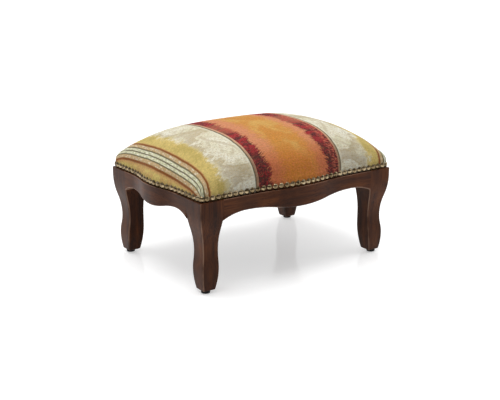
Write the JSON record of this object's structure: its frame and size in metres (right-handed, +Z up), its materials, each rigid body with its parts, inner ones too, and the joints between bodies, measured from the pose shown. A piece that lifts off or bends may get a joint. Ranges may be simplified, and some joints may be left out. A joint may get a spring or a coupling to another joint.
{
  "type": "footstool",
  "caption": "Low upholstered footstool with a crowned striped seat, a close-nailed edge, serpentine wooden rails and cabriole legs on glides.",
  "frame": {"origin": "on the floor under the middle of the stool, level with the undersides of the glides", "axes": "+X along the length to the right, +Y towards the back, +Z up"},
  "size_m": [0.47, 0.35, 0.2709],
  "materials": {
    "show_wood": "dark walnut stain, satin",
    "plain_wood": "raw beech",
    "black_plastic": "moulded",
    "steel": "zinc plated",
    "webbing": "woven jute",
    "burlap": "coarse weave",
    "foam": "open cell",
    "wadding": "fibre",
    "striped_fabric": "woven stripes in orange, crimson, cream and gold",
    "antique_brass": "antiqued",
    "black_cloth": "plain weave"
  },
  "bodies": {
    "root": {"brace_screws": "steel", "burlap": "burlap", "corner_brace_back_left": "plain_wood", "corner_brace_back_right": "plain_wood", "corner_brace_front_left": "plain_wood", "corner_brace_front_right": "plain_wood", "dowels": "plain_wood", "dust_cover": "black_cloth", "dust_cover_staples": "steel", "foam_pad": "foam", "glide_back_left": "black_plastic", "glide_back_right": "black_plastic", "glide_front_left": "black_plastic", "glide_front_right": "black_plastic", "glide_pins": "steel", "leg_back_left": "show_wood", "leg_back_right": "show_wood", "leg_front_left": "show_wood", "leg_front_right": "show_wood", "rail_back": "show_wood", "rail_front": "show_wood", "rail_left": "show_wood", "rail_right": "show_wood", "seat_cover": "striped_fabric", "upholstery_nails": "antique_brass", "wadding": "wadding", "webbing_long_1": "webbing", "webbing_long_2": "webbing", "webbing_long_3": "webbing", "webbing_short_1": "webbing", "webbing_short_2": "webbing", "webbing_short_3": "webbing", "webbing_short_4": "webbing", "webbing_staples": "steel"}
  },
  "joints": []
}
